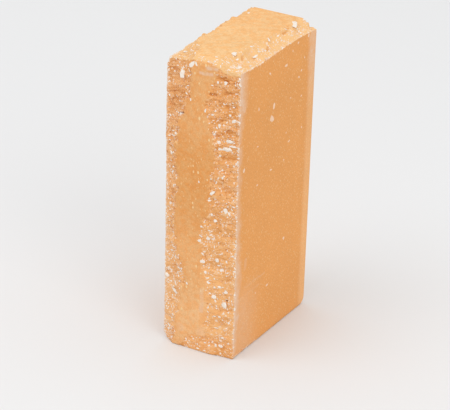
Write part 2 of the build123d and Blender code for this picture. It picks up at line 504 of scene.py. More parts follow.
def reach_of_rays(origins, directions, segments):
    """How far each ray runs to the last segment that it meets. A ray o + r d meets the segment
    a + k e where r = (a - o) x e / (d x e) and k = (a - o) x d / (d x e) is from 0 to 1."""
    edges = segments[:, 1] - segments[:, 0]
    gap = segments[None, :, 0] - origins[:, None]
    turn = cross(directions[:, None], edges[None])
    turn = np.where(np.abs(turn) < 1e-12, 1e-12, turn)
    reach = cross(gap, edges[None]) / turn
    along = cross(gap, directions[:, None]) / turn
    met = (along > -1e-4) & (along < 1 + 1e-4)
    return np.where(met, reach, 0).max(axis=1)


def outline_rays(settings):
    """Rays that run outwards all round the outline in Y and Z, up the stretcher first. On a
    side they start along the inset rectangle, and at its corners they fan out. Returns the
    origins, the directions, and 1 or 0 for whether a ray can meet a break."""
    low, high = cad_low[1:] + RAY_INSET, cad_high[1:] - RAY_INSET
    foot, front = (low[0], low[1]), (low[0], high[1])
    back, heel = (high[0], high[1]), (high[0], low[1])
    fine = settings.step
    sections = [
        (foot, front, 180, 180, fine, 1),
        (front, front, 180, 90, fine, 1),
        (front, back, 90, 90, fine, 1),
        (back, back, 90, 26, fine, 1),
        (back, back, 26, 0, PLAIN_STEP, 0),
        (back, heel, 0, 0, PLAIN_STEP, 0),
        (heel, heel, 0, -90, ROUNDED_STEP, 0),
        (heel, foot, -90, -90, PLAIN_STEP, 0),
        (foot, foot, -90, -106, PLAIN_STEP, 0),
        (foot, foot, -106, -180, fine, 1),
    ]
    origins, angles, shown = [], [], []
    for start, end, first, last, step, show in sections:
        run = math.dist(start, end) + math.radians(abs(last - first)) * RAY_INSET * FAN_REACH
        share = np.arange(max(round(run / step), 2))[:, None]
        share = share / len(share)
        origins.append(np.array(start) + share * (np.array(end) - np.array(start)))
        angles.append(np.radians(first + share[:, 0] * (last - first)))
        shown.append(np.full(len(share), show))
    angles = np.concatenate(angles)
    directions = np.stack([np.cos(angles), np.sin(angles)], axis=1)
    return np.concatenate(origins), directions, np.concatenate(shown)


def grid_between(field, down, along):
    """The values of a grid between its points, blended from the four nearest. The grid is
    closed in its first direction and ends in its second."""
    top = np.floor(down).astype(int)
    side = np.clip(np.floor(along).astype(int), 0, field.shape[1] - 2)
    down, along = down - top, np.clip(along - side, 0, 1)
    top, below = top % len(field), (top + 1) % len(field)
    upper = field[top, side] * (1 - along) + field[top, side + 1] * along
    lower = field[below, side] * (1 - along) + field[below, side + 1] * along
    return upper * (1 - down) + lower * down


# The brick's skin


def hollow_depth(across, along, hollows, aside):
    """How deep hollows lie at places on a face. A hollow is deepest on the line between its
    two ends, and eases out to nothing over its width. The distance from the line is read
    with noise added, so that the hollow's edge is ragged."""
    deepest = np.zeros(across.shape)
    for start_across, start_along, end_across, end_along, width, depth in np.array(hollows) * MM:
        run_across, run_along = end_across - start_across, end_along - start_along
        share = (across - start_across) * run_across + (along - start_along) * run_along
        share = np.clip(share / (run_across**2 + run_along**2), 0, 1)
        gap = np.hypot(across - start_across - share * run_across, along - start_along - share * run_along)
        deepest = np.maximum(deepest, depth * (1 - smooth_step(0, width, gap + aside)))
    return deepest


class SkinGrid:
    """Rays once round the outline by rows from the left bed to the right, with how deep the
    solid lies on each ray below the pressed skin. Noise is read where that skin lies."""

    def __init__(self, settings):
        self.seed = settings.seed
        self.half = cad_high[0]
        inner = self.half - ARRIS_ROWS[-1] - settings.row_step
        middle = np.linspace(-inner, inner, round(2 * inner / settings.row_step) + 1)
        self.rows = np.concatenate([-self.half + ARRIS_ROWS, middle, self.half - ARRIS_ROWS[::-1]])
        self.free = smooth_step(0, BED_MARGIN, self.half - np.abs(self.rows))[None]
        self.origins, self.directions, shown = outline_rays(settings)
        self.shown = shown[:, None]
        triangles = cad_triangles(BRICK_NODE)
        cuts = [cut_at(triangles, across) for across in self.rows]
        reach = np.stack([reach_of_rays(self.origins, self.directions, cut) for cut in cuts], axis=1)
        self.shape = reach.shape
        self.pressed = reach.max(axis=1, keepdims=True)
        self.solid_depth = self.pressed - reach
        places = self.points_below(0)
        self.x, self.y, self.z = places[..., 0], places[..., 1], places[..., 2]
        self.places = places.reshape(-1, 3)
        rise, run = math.sin(LAYER_RISE), math.cos(LAYER_RISE)
        self.layers = self.places @ np.array([(run, 0, -rise), (0, 1, 0), (rise, 0, run)])

    def points_below(self, depth):
        """The points on the rays at a depth below the pressed skin."""
        flat = self.origins[:, None] + self.directions[:, None] * (self.pressed - depth)[:, :, None]
        flat = np.broadcast_to(flat, self.shape + (2,))
        across = np.broadcast_to(self.rows[None, :, None], self.shape + (1,))
        return np.concatenate([across, flat], axis=2)

    def noise(self, kind, cell, offset, stretch=None):
        """Noise of a kind, or with a stretch, noise drawn out along the stone's layers."""
        spots = self.places if stretch is None else self.layers * np.array(stretch)
        return kind(spots, cell, self.seed + offset).reshape(self.shape)


def wandered_depth(grid, settings):
    """The solid's depth, read a little aside by smooth noise, so that the lips of the breaks
    wander. The noise is calm at the foot, and across the rows also beside the beds."""
    def wander(offset):
        coarse, fine = (
            grid.noise(lattice_noise, cell, offset + layer) for layer, cell in enumerate(LIP_CELLS)
        )
        return settings.lip_wander * (coarse + 0.5 * fine)

    calm = smooth_step(*LIP_CALM, grid.z)
    stray = np.where(grid.rows < 0, LEFT_STRAY, 1)[None]
    down = np.arange(grid.shape[0])[:, None] + wander(0) * calm / settings.step
    along = np.arange(grid.shape[1])[None] + wander(10) * stray * grid.free * calm / settings.row_step
    wandered = grid_between(grid.solid_depth, down, along)
    return np.where(grid.shown > 0, wandered, grid.solid_depth)


def broken_shares(grid, depth):
    """How broken each point is, by its depth with noise on it, or by its place below
    FOOT_LINE. Returns that, and the share of the break along the foot alone."""
    ragged = EDGE_NOISE * grid.noise(layered_noise, EDGE_CELL, 15)
    broken = depth + ragged * smooth_step(0, EDGE_NOISE, depth)
    broken = smooth_step(*BROKEN_DEPTH, broken) * grid.shown
    foot_line = np.interp(grid.rows, *np.transpose(FOOT_LINE) * MM)[None]
    spalled = smooth_step(-0.5 * MM, 0.8 * MM, foot_line - grid.z + 4 * ragged)
    spalled = spalled * (grid.y < -RAY_INSET) * (foot_line > 0)
    return np.maximum(broken, spalled), spalled


def top_shares(grid, depth):
    """How far each point belongs to the top end, by its slope or by its place above
    WORN_ARRIS, and how far it lies on that arris, which is crumbled."""
    solid = grid.points_below(depth)
    step = np.roll(solid, -1, axis=0) - np.roll(solid, 1, axis=0)
    facing_up = step[..., 1] / np.maximum(np.hypot(step[..., 1], step[..., 2]), 1e-9)
    worn_line = np.interp(grid.rows, *np.transpose(WORN_ARRIS) * MM)[None]
    over = grid.z - worn_line + CRUMBLE_NOISE * grid.noise(layered_noise, CRUMBLE_CELL, 16)
    front = (grid.y < 0) * (grid.z > cad_high[2] / 2)
    above = smooth_step(-0.5 * MM, 0.5 * MM, over) * front
    upward = np.maximum(smooth_step(0.35, 0.75, facing_up), above)
    crumbled = smooth_step(-0.8 * MM, 0.2 * MM, over) * (1 - smooth_step(0.93, 1.0, facing_up)) * front
    return upward, crumbled


def stone_relief(grid, settings, upward):
    """The relief of broken stone: facets and smaller chips, both drawn out along the layers,
    with granules and crumbs over them. Facets and chips are lower where the stone faces up
    and on the lower part of the brick, and the whole relief is lower at the foot."""
    facets = grid.noise(facet_noise, settings.facet_size, 20, (0.55, 0.9, 1.5))
    chips = grid.noise(facet_noise, settings.facet_size * 0.42, 21, (0.6, 1, 1.4))
    granules = grid.noise(facet_noise, settings.granule_size, 23)
    crumbs = grid.noise(layered_noise, CRUMB_CELL, 22)
    coarse = (0.65 + 0.5 * smooth_step(*COARSE_HEIGHTS, grid.z)) * (1 - 0.5 * upward)
    relief = coarse * settings.facet_height * (facets + 0.5 * chips)
    relief = relief + settings.granule_height * granules + settings.crumb_height * crumbs
    return relief * (0.2 + 0.8 * smooth_step(*FOOT_HEIGHTS, grid.z))


def seen_hollows(grid, depth, upward):
    """The depths of the stretcher's hollows and of the top end's. Each point is looked up
    where it is seen on its face's plane, which is over by its depth times the slant."""
    aside = HOLLOW_NOISE * grid.noise(layered_noise, HOLLOW_CELL, 25)

    def looked_up(table, along, slant):
        return hollow_depth(grid.x + slant[0] * depth, along + slant[1] * depth, table, aside)

    sunk = looked_up(STRETCHER_HOLLOWS, grid.z, STRETCHER_SLANT) * (1 - upward) * (grid.y < 0)
    top = looked_up(END_HOLLOWS, grid.y, END_SLANT) * upward
    return sunk, top


def skin_points(settings):
    """The skin as a closed grid. A point between the beds lies on its ray below the pressed
    skin by the wandered depth, plus the relief of the stone where it is broken, and plus a
    faint unevenness where it isn't. On a bed each ray's point moves in from the arris ring
    by ring, and both beds close at a pole. Returns the points, the grid's size, and shares
    of each point: how broken, how hollow, how far it faces up, and how far in the pit. The
    hollow and pit shares set where shade is painted into the colour."""
    grid = SkinGrid(settings)
    depth = wandered_depth(grid, settings)
    broken, spalled = broken_shares(grid, depth)
    upward, crumbled = top_shares(grid, depth)
    sunk, top = seen_hollows(grid, depth, upward)
    relief = stone_relief(grid, settings, upward)
    relief = relief * (0.45 + 0.55 * grid.free) + (sunk + top) * grid.free
    uneven = np.clip(0.5 + 0.5 * grid.noise(layered_noise, UNEVEN_CELL, 30), 0, None)
    uneven = settings.skin_height * uneven * (1 - 0.8 * upward)
    depth = depth + SPALL_DEPTH * spalled + broken * relief + top * grid.free * (1 - broken)
    depth = np.maximum(depth, 0) + (1 - broken) * uneven
    depth = depth + np.clip(crumbled * (1 - broken) * (CRUMBLE_DEPTH + 0.7 * relief), 0, None)
    broken = np.maximum(broken, 0.8 * crumbled)
    # Shares of painted shade: hollow for the stone's hollows, and pit for the deepest one, which is painted
    # far darker.
    hollow = np.maximum(
        smooth_step(-0.2 * MM, 1.5 * MM, relief + top),
        0.85 * smooth_step(0, 0.7 * MM, sunk + top),
    )
    hollow = hollow * np.maximum(broken, smooth_step(0, 0.5 * MM, top))
    pit = smooth_step(1.5 * MM, 1.9 * MM, sunk) * broken

    rim = grid.points_below(depth)
    left, left_chip = bed_points(rim[:, 0], grid.origins, broken[:, 0], -1, grid.seed + 40)
    right, right_chip = bed_points(rim[:, -1], grid.origins, broken[:, -1], 1, grid.seed + 41)
    points = np.concatenate([left[:, ::-1], rim, right], axis=1)
    poles = np.array([[-grid.half, 0, cad_high[2] / 2], [grid.half, 0, cad_high[2] / 2]])
    none = np.zeros_like(left_chip)
    shares = {
        name: np.append(np.concatenate([first[:, ::-1], share, last], axis=1).ravel(), [0, 0])
        for name, first, share, last in (
            ("broken", left_chip, broken, right_chip), ("hollow", none, hollow, none),
            ("upward", none, upward, none), ("pit", none, pit, none),
        )
    }
    return np.concatenate([points.reshape(-1, 3), poles]), points.shape[:2], shares


def bed_points(arris, origins, broken, side, seed):
    """Rings on a bed: each ring is the arris moved towards the rays' origins by its way in,
    and lies below the bed where a chip of the broken arris reaches, deepest at the arris.
    The rings settle towards an even one, so that the fan inside it never folds over.
    Returns the points and the share of the chips at each."""
    outward = arris[:, 1:] - origins
    reach = np.linalg.norm(outward, axis=1, keepdims=True)
    settled = smooth_step(2 * MM, BED_RINGS[-1], BED_RINGS)
    lengths = (reach - BED_RINGS) * (1 - settled) + BED_HEART * settled
    lengths = np.maximum(lengths, BED_HEART + RING_GAP * (BED_RINGS[-1] - BED_RINGS))
    flat = origins[:, None] + (outward / reach)[:, None] * lengths[..., None]
    level = np.full(flat.shape[:2] + (1,), side * cad_high[0])
    places = np.concatenate([level, flat], axis=2)
    chip = layered_noise(places.reshape(-1, 3), CHIP_CELL, seed).reshape(flat.shape[:2])
    chip = smooth_step(0.1, 0.9, chip) * broken[:, None] * (1 - smooth_step(0, CHIP_REACH, BED_RINGS))[None]
    places[..., 0] -= side * (BED_CLEARANCE + CHIP_DEPTH * chip)
    return places, smooth_step(0.1, 0.4, chip)


def grid_faces(round_count, across_count):
    """Quads over a grid that is closed in its first direction, and a fan of triangles from
    each of its two end columns to that end's pole, all facing outwards."""
    here = np.arange(round_count)[:, None] * across_count + np.arange(across_count - 1)[None]
    after = np.roll(here, -1, axis=0)
    quads = np.stack([here, here + 1, after + 1, after], axis=2).reshape(-1, 4)
    first = np.arange(round_count) * across_count
    last = first + across_count - 1
    left_pole = round_count * across_count
    left = np.stack([first, np.roll(first, -1), np.full(round_count, left_pole)], axis=1)
    right = np.stack([np.roll(last, -1), last, np.full(round_count, left_pole + 1)], axis=1)
    return quads.tolist() + left.tolist() + right.tolist()


def mesh_object(name, points, faces, smooth, shares):
    """A new object of points and faces, with named shares as attributes of its points."""
    mesh = bpy.data.meshes.new(name)
    mesh.from_pydata(points.tolist(), [], faces)
    mesh.polygons.foreach_set("use_smooth", np.broadcast_to(smooth, len(faces)))
    for share_name, values in shares.items():
        attribute = mesh.attributes.new(share_name, "FLOAT", "POINT")
        attribute.data.foreach_set("value", values.astype(np.float32))
    mesh.update()
    made = bpy.data.objects.new(name, mesh)
    bpy.context.scene.collection.objects.link(made)
    return made


# Limestone grains


def grain_shape():
    """The corners and faces of an icosahedron: the cyclic turns of (0, 1, golden ratio) with
    both signs, and each triple of corners that are all one edge apart, facing outwards."""
    golden = (1 + math.sqrt(5)) / 2
    signs = np.array([(0, a, b) for a in (-1, 1) for b in (-golden, golden)])
    corners = np.concatenate([np.roll(signs, turn, axis=1) for turn in range(3)])
    near = np.abs(np.linalg.norm(corners[:, None] - corners[None], axis=2) - 2) < 1e-6
    faces = []
    for a, b, c in combinations(range(len(corners)), 3):
        if near[a, b] and near[b, c] and near[a, c]:
            way = np.cross(corners[b] - corners[a], corners[c] - corners[a])
            faces.append((a, b, c) if np.dot(way, corners[a]) > 0 else (a, c, b))
    return corners / math.hypot(1, golden), np.array(faces)


def grain_cloud(places, normals, sizes, turns, sunk, chance):
    """Angular grains as arrays. Each is the grain shape with every corner moved in or out at
    random, stretched to its length, width and height, turned about its normal from level,
    and sunk by a share of its height below its place."""
    corners, faces = grain_shape()
    count = len(places)
    body = corners[None] * chance.uniform(0.6, 1.15, size=(count, 12, 1))
    body = body * sizes[:, None] / 2
    cosine, sine = np.cos(turns)[:, None], np.sin(turns)[:, None]
    length_way = body[..., 0] * cosine - body[..., 1] * sine
    width_way = body[..., 0] * sine + body[..., 1] * cosine
    height_way = body[..., 2] - (sunk * sizes[:, 2])[:, None]
    upright = np.where(normals[:, 2:] > 0.7, [[0.0, 1.0, 0.0]], [[0.0, 0.0, 1.0]])
    level = np.cross(upright, normals)
    level /= np.linalg.norm(level, axis=1, keepdims=True)
    rise = np.cross(normals, level)
    points = (
        places[:, None]
        + length_way[..., None] * level[:, None]
        + width_way[..., None] * rise[:, None]
        + height_way[..., None] * normals[:, None]
    )
    points = np.clip(points.reshape(-1, 3), cad_low, cad_high)
    indices = (faces[None] + 12 * np.arange(count)[:, None, None]).reshape(-1, 3)
    return points, indices


def read_skin():
    """The skin's points, their normals and how broken they are."""
    mesh = bpy.data.objects[SKIN_NAME].data
    points = np.empty(len(mesh.vertices) * 3, np.float32)
    mesh.vertices.foreach_get("co", points)
    normals = np.empty(len(mesh.vertices) * 3, np.float32)
    mesh.vertex_normals.foreach_get("vector", normals)
    broken = np.empty(len(mesh.vertices), np.float32)
    mesh.attributes["broken"].data.foreach_get("value", broken)
    return points.reshape(-1, 3).astype(float), normals.reshape(-1, 3).astype(float), broken


# Materials


def add_node(tree, kind, inputs, **settings):
    """Adds a shader node, sets it, and fills its inputs with values or with links."""
    made = tree.nodes.new("ShaderNode" + kind)
    for name, value in settings.items():
        setattr(made, name, value)
    for name, value in inputs.items():
        if isinstance(value, bpy.types.NodeSocket):
            tree.links.new(value, made.inputs[name])
        else:
            made.inputs[name].default_value = value
    return made


class Shader:
    """A material's tree, with one short method for each kind of step. Places and the cells
    of patterns are in millimetres. Limits may fall as well as rise."""

    def __init__(self, name):
        self.material = bpy.data.materials.new(name)
        self.material.use_nodes = True
        self.tree = self.material.node_tree
        self.tree.nodes.clear()
        place = add_node(self.tree, "TexCoord", {}).outputs["Object"]
        scaled = add_node(self.tree, "VectorMath", {0: place, "Scale": 1 / MM}, operation="SCALE")
        self.place = scaled.outputs[0]
        axes = add_node(self.tree, "SeparateXYZ", {0: self.place})
        self.x, self.y, self.z = axes.outputs

    def calculate(self, operation, first, second=0.0):
        return add_node(self.tree, "Math", {0: first, 1: second}, operation=operation).outputs[0]

    def times(self, first, second):
        return self.calculate("MULTIPLY", first, second)

    def add(self, first, second):
        return self.calculate("ADD", first, second)

    def larger(self, first, second):
        return self.calculate("MAXIMUM", first, second)

    def rest(self, share):
        """1 less a share."""
        return self.calculate("SUBTRACT", 1.0, share)

    def noise(self, cell, detail=2.0, roughness=0.5):
        """Noise of 0 to 1 with cells of that many millimetres."""
        inputs = {"Vector": self.place, "Scale": 1 / cell, "Detail": detail, "Roughness": roughness}
        return add_node(self.tree, "TexNoise", inputs).outputs[0]

    def spots(self, place, spot, soft):
        """Spots round scattered points, as the rows of SPECKS give them. Each point has a
        chance, and from the lowest one that shows up to 1 the radius grows to the largest."""
        cell, lowest, largest, strength = spot
        points = add_node(self.tree, "TexVoronoi", {"Vector": place, "Scale": 1 / cell})
        radius = self.ease(self.channel(points.outputs["Color"], 0), lowest, 1.0, 0.0, largest)
        within = self.calculate("SUBTRACT", radius, points.outputs["Distance"])
        return self.ease(within, 0.0, soft, 0.0, strength)

    def channel(self, colour, number):
        return add_node(self.tree, "SeparateColor", {0: colour}).outputs[number]

    def ease(self, value, low, high, to_low=0.0, to_high=1.0):
        """The smooth step of a value from low to high, as to_low to to_high."""
        inputs = {"Value": value, "From Min": low, "From Max": high, "To Min": to_low, "To Max": to_high}
        return add_node(self.tree, "MapRange", inputs, interpolation_type="SMOOTHSTEP").outputs[0]

    def inside(self, value, low, high, soft):
        """1 from low to high, and down to 0 over a soft edge outside."""
        middle, half = (low + high) / 2, (high - low) / 2
        gap = self.calculate("ABSOLUTE", self.calculate("SUBTRACT", value, middle))
        return self.ease(gap, half, half + soft, 1.0, 0.0)

    def shaken(self, cell):
        """Places in millimetres, moved about by noise, so that round patterns turn ragged."""
        inputs = {"Vector": self.place, "Scale": 1 / cell, "Detail": 1.0}
        shake = add_node(self.tree, "TexNoise", inputs).outputs["Color"]
        inputs = {0: shake, 1: (-0.5, -0.5, -0.5)}
        shake = add_node(self.tree, "VectorMath", inputs, operation="ADD").outputs[0]
        inputs = {0: shake, 1: (1.5 * cell,) * 3, 2: self.place}
        return add_node(self.tree, "VectorMath", inputs, operation="MULTIPLY_ADD").outputs[0]

    def turned(self, turn, stretch):
        """Places in millimetres, turned back by a turn and then shrunk by a stretch."""
        inputs = {"Vector": self.place, "Rotation": turn, "Scale": stretch}
        return add_node(self.tree, "Mapping", inputs, vector_type="TEXTURE").outputs[0]

    def turned_noise(self, cell, turn, stretch):
        """Noise of 0 to 1 that is drawn out along an axis of a turned frame."""
        inputs = {"Vector": self.turned(turn, stretch), "Scale": 1 / cell, "Detail": 3.0}
        return add_node(self.tree, "TexNoise", inputs).outputs[0]

    def mix(self, share, first, second, blend="MIX"):
        made = add_node(self.tree, "Mix", {}, data_type="RGBA", blend_type=blend)
        for socket, value in ((made.inputs[0], share), (made.inputs[6], first), (made.inputs[7], second)):
            if isinstance(value, bpy.types.NodeSocket):
                self.tree.links.new(value, socket)
            else:
                socket.default_value = value
        return made.outputs[2]

    def ramp(self, value, stops):
        made = add_node(self.tree, "ValToRGB", {0: value})
        elements = made.color_ramp.elements
        while len(elements) < len(stops):
            elements.new(0.5)
        for element, (position, colour) in zip(elements, stops):
            element.position = position
            element.color = colour
        return made.outputs[0]

    def share(self, name):
        return add_node(self.tree, "Attribute", {}, attribute_name=name).outputs["Fac"]

    def brighten(self, colour, factor):
        """The colour times a factor that varies over the surface."""
        grey = add_node(self.tree, "CombineColor", {0: factor, 1: factor, 2: factor}).outputs[0]
        return self.mix(1.0, colour, grey, "MULTIPLY")

    def finish(self, colour, roughness, height, bump_distance, specular):
        bump = add_node(self.tree, "Bump", {"Height": height, "Distance": bump_distance})
        inputs = {"Base Color": colour, "Roughness": roughness,
                  "Normal": bump.outputs[0], "Specular IOR Level": specular}
        surface = add_node(self.tree, "BsdfPrincipled", inputs)
        add_node(self.tree, "OutputMaterial", {"Surface": surface.outputs[0]})
        return self.material


def opaque(colour):
    """A colour of three values as the four that a socket takes."""
    return (*colour, 1.0)


def tinted(colour, factors):
    """A colour times a factor for each of red, green and blue."""
    return opaque([factor * value for factor, value in zip(factors, colour)])


def blended(first_share, first, second_share, second):
    """Shares of two colours added up."""
    return opaque([first_share * a + second_share * b for a, b in zip(first, second)])


def brick_material(settings):
    """Pressed skin and broken stone in one material: the attribute broken leads from one to
    the other, over an edge made ragged by noise. Shade is painted into the hollows and the
    pit of the stone, and a pale film lies over both. A painted contact shadow darkens all of
    it just above the floor."""
    shader = Shader(MATERIAL_SLOT)
    broken, end = shader.share("broken"), shader.share("upward")
    bed = shader.ease(shader.calculate("ABSOLUTE", shader.x), 31.6, 32.3)
    skin = pressed_skin(shader, settings, bed, end)

    stone = broken_stone(shader, settings, end)
    # Painted shade: the stone's colour darkens in its hollows, less on the top end and on the left, and far
    # more in the pit.
    shaded = shader.rest(shader.times(end, 0.4))
    shaded = shader.times(shaded, shader.ease(shader.x, -20, -12, 0.65, 1.0))
    shaded = shader.times(shader.ease(shader.share("hollow"), 0.35, 1.0, 0.0, 0.85), shaded)
    stone = shader.mix(shaded, stone, tinted(settings.break_colour, HOLLOW_SHADE))
    stone = shader.mix(shader.share("pit"), stone, tinted(settings.break_colour, PIT_SHADE))

    edge = shader.add(broken, shader.ease(shader.noise(1.6, 4.0), 0.2, 0.8, -0.45, 0.45))
    colour = shader.mix(shader.ease(edge, 0.2, 0.8), skin, stone)
    colour = shader.mix(pale_film(shader, bed), colour, opaque(settings.film_colour))
    # Painted contact shadow: the colour darkens over the last two millimetres above the floor.
    colour = shader.brighten(colour, shader.ease(shader.z, 1.8, 0.3, 1.0, 0.85))

    smooth_height = shader.times(shader.noise(0.7, 4.0, 0.7), 0.2)
    rough_height = shader.times(shader.noise(1.6, 4.0, 0.65), 0.9)
    height = shader.mix(broken, smooth_height, rough_height)
    return shader.finish(colour, 0.88, height, 0.16 * MM, 0.25)


def pressed_skin(shader, settings, bed, end):
    """The colour of pressed skin. The stretcher is paler low down, partly from pale dust and
    partly from painted light bounced from the floor, and a little paler near the top. The
    top end is dustier still, less so towards the back, and brushed aslant. Both have
    deeper patches. The beds have a paler strip beside their back arris, and are a little
    lighter low down and near the top. All of it is clouded and mottled, with small pale
    specks of sand, upright and a little longer than wide."""
    # Paler low down: partly pale dust, partly painted light bounced from the floor; and a little paler near
    # the top.
    dust = shader.add(shader.ease(shader.z, 150, 15), shader.ease(shader.z, 165, 195, 0.0, 0.35))
    dust = shader.times(dust, shader.ease(shader.noise(26, 2.0), 0.25, 0.75, 0.8, 1.2))
    skin = shader.mix(dust, opaque(settings.face_colour), opaque(settings.dust_and_bounce_colour))
    skin = shader.mix(end, skin, opaque(settings.end_colour))
    back_end = shader.times(end, shader.ease(shader.y, -5, 25, 0.0, 0.18))
    skin = shader.mix(back_end, skin, opaque(settings.face_colour))
    deeper = shader.ease(shader.noise(4.5, 3.0, 0.6), 0.38, 0.62)
    skin = shader.mix(deeper, skin, opaque(DEEPER_SKIN), "MULTIPLY")
    skin = shader.mix(bed, skin, opaque(settings.bed_colour))
    strip = shader.times(shader.inside(shader.y, 51, 57, 5), shader.ease(shader.z, 190, 225, 0.45, 0.15))
    skin = shader.mix(shader.times(strip, bed), skin, opaque(settings.dust_and_bounce_colour))

    cloud = shader.ease(shader.noise(22, 3.0), 0.3, 0.7, 0.978, 1.017)
    mottle = shader.ease(shader.noise(1.3, 3.0, 0.7), 0.25, 0.75, 0.90, 1.09)
    lighter = shader.ease(shader.z, 150, 70, 0.0, 0.045)
    lighter = shader.add(lighter, shader.ease(shader.z, 215, 238, 0.0, 0.025))
    lighter = shader.add(shader.times(lighter, bed), 1.0)
    skin = shader.brighten(skin, shader.times(shader.times(cloud, mottle), lighter))

    place = shader.turned((math.radians(12), 0, 0), (1, 0.8, 1.5))
    for speck in SPECKS:
        skin = shader.mix(shader.spots(place, speck, 0.06), skin, opaque(settings.speck_colour))
    brushed = shader.turned_noise(2.2, (0, 0, math.radians(45)), (9, 1, 9))
    return shader.brighten(skin, shader.ease(shader.times(end, brushed), 0.3, 0.7, 0.985, 1.035))


def broken_stone(shader, settings, end):
    """The colour of a break: cement in three tones drawn out along the stone's layers, whose
    deepest tone is partly painted shade of its ledges, paler on the left and lower down,
    where dust lies on it, and where it faces up, with patches of cream, dark pores of
    painted shade, pale crumbs, and pale arrises beside the beds. Painted light lifts it a
    little along the foot."""
    cement = settings.break_colour
    pale = blended(0.4, cement, 0.6, settings.grain_colour)
    layers = (0, -LAYER_RISE, 0)
    # Darker bands along the layers: partly the cement's uneven tone, partly painted shade of its ledges.
    bands = shader.turned_noise(4.5, layers, (2.6, 1.5, 1))
    stone = shader.mix(shader.ease(bands, 0.44, 0.62), opaque(cement), tinted(cement, DEEP_CEMENT_AND_SHADE))
    streaks = shader.turned_noise(1.7, layers, (2.2, 1.5, 1))
    stone = shader.mix(shader.ease(streaks, 0.50, 0.66, 0, 0.75), stone, opaque(settings.dust_and_bounce_colour))

    left = shader.ease(shader.x, -12, -20)
    dust = shader.add(shader.ease(shader.z, 235, 20, 0.2, 0.7), shader.times(left, 0.05))
    dust = shader.times(dust, shader.ease(shader.z, 8, 22, 0.3, 1.0))
    dust = shader.times(dust, shader.ease(shader.noise(12, 2.0), 0.3, 0.7, 0.7, 1.3))
    stone = shader.mix(dust, stone, tinted(settings.dust_and_bounce_colour, DUSTY_STONE))
    stone = shader.mix(shader.times(left, 0.08), stone, opaque(settings.film_colour))
    # Painted light: the break along the foot faces a little downwards, and its colour is lifted to undo the
    # shade that falls on it.
    stone = shader.brighten(stone, shader.ease(shader.z, 17, 11, 1.0, 1.06))
    stone = shader.mix(shader.times(end, 0.9), stone, tinted(settings.end_colour, END_STONE))
    cream = shader.ease(shader.turned_noise(5, layers, (1.6, 1.2, 1)), 0.56, 0.68, 0.0, 0.5)
    cream = shader.times(cream, shader.ease(shader.z, 200, 150, 0.3, 1.0))
    stone = shader.mix(cream, stone, opaque(CREAM_STONE))

    # Painted shade: dark spots stand in for the shade inside small pores, fewer low down and none where the
    # stone faces up.
    open_pores = shader.times(shader.ease(shader.z, 40, 180, 0.4, 1.0), shader.rest(end))
    for spot in PORES:
        pore = shader.times(shader.spots(shader.shaken(0.45 * spot[0]), spot, 0.1), open_pores)
        stone = shader.mix(pore, stone, tinted(cement, PORE_SHADE))
    for spot in CRUMBS:
        stone = shader.mix(shader.spots(shader.shaken(0.45 * spot[0]), spot, 0.1), stone, pale)
    arris = shader.ease(shader.calculate("ABSOLUTE", shader.x), 30.0, 31.8)
    arris = shader.times(arris, shader.ease(shader.noise(2.2, 3.0), 0.45, 0.65, 0.0, 0.6))
    return shader.mix(arris, stone, pale)


def pale_film(shader, bed):
    """The share of the pale film, thinner in places: the film and the scratches of the beds,
    and the scuffs of the stretcher. Only the right bed is scratched."""
    on_right = shader.calculate("GREATER_THAN", shader.x, 0.0)
    scratches = shader.times(marks(shader, shader.y, BED_MARKS), on_right)
    film = shader.times(shader.larger(bed_film(shader), scratches), bed)
    on_stretcher = shader.calculate("LESS_THAN", shader.y, -55.0)
    scuffs = shader.times(marks(shader, shader.x, FACE_MARKS), on_stretcher)
    thin = shader.ease(shader.noise(5, 4.0, 0.6), 0.25, 0.75, 0.55, 1.0)
    return shader.times(shader.larger(film, scuffs), thin)


def marks(shader, across, table):
    """The share of pale marks: each is a soft-edged bar across a face and up it, made wavy
    and broken up by noise."""
    across = shader.add(across, shader.ease(shader.noise(9, 2.0), 0.25, 0.75, -0.8, 0.8))
    up = shader.add(shader.z, shader.ease(shader.noise(14, 2.0), 0.25, 0.75, -0.8, 0.8))
    total = 0.0
    for left, right, bottom, top, soft, strength in table:
        bar = shader.times(shader.inside(across, left, right, soft), shader.inside(up, bottom, top, soft))
        total = shader.larger(shader.times(bar, strength), total)
    return shader.times(total, shader.ease(shader.noise(2.4, 3.0, 0.6), 0.3, 0.62, 0.6, 1.15))


def bed_film(shader):
    """The share of the pale film on a bed: a strip along its front arris, as wide and as
    strong as BED_FILM says, a strip inside its back arris, stronger near the top, and a
    wide faint haze over the front of its foot."""
    stops = [
        (z / TOP_PLANE, (strength, edge / FRONT_PLANE, 0.0, 1.0)) for z, edge, strength in BED_FILM
    ]
    film = shader.ramp(shader.calculate("DIVIDE", shader.z, TOP_PLANE), stops)
    edge = shader.times(shader.channel(film, 1), FRONT_PLANE)
    place = shader.add(shader.y, shader.ease(shader.noise(9, 3.0), 0.2, 0.8, -2.2, 2.2))
    front = shader.times(shader.ease(place, -56.5, edge, 1.0, 0.0), shader.channel(film, 0))
    back = shader.times(shader.inside(place, 51, 56.5, 7), shader.ease(shader.z, 175, 220, 0.05, 0.5))
    foot = shader.times(shader.ease(place, -8, -44, 0.0, 0.3), shader.ease(shader.z, 72, 40))
    return shader.larger(shader.larger(front, back), foot)


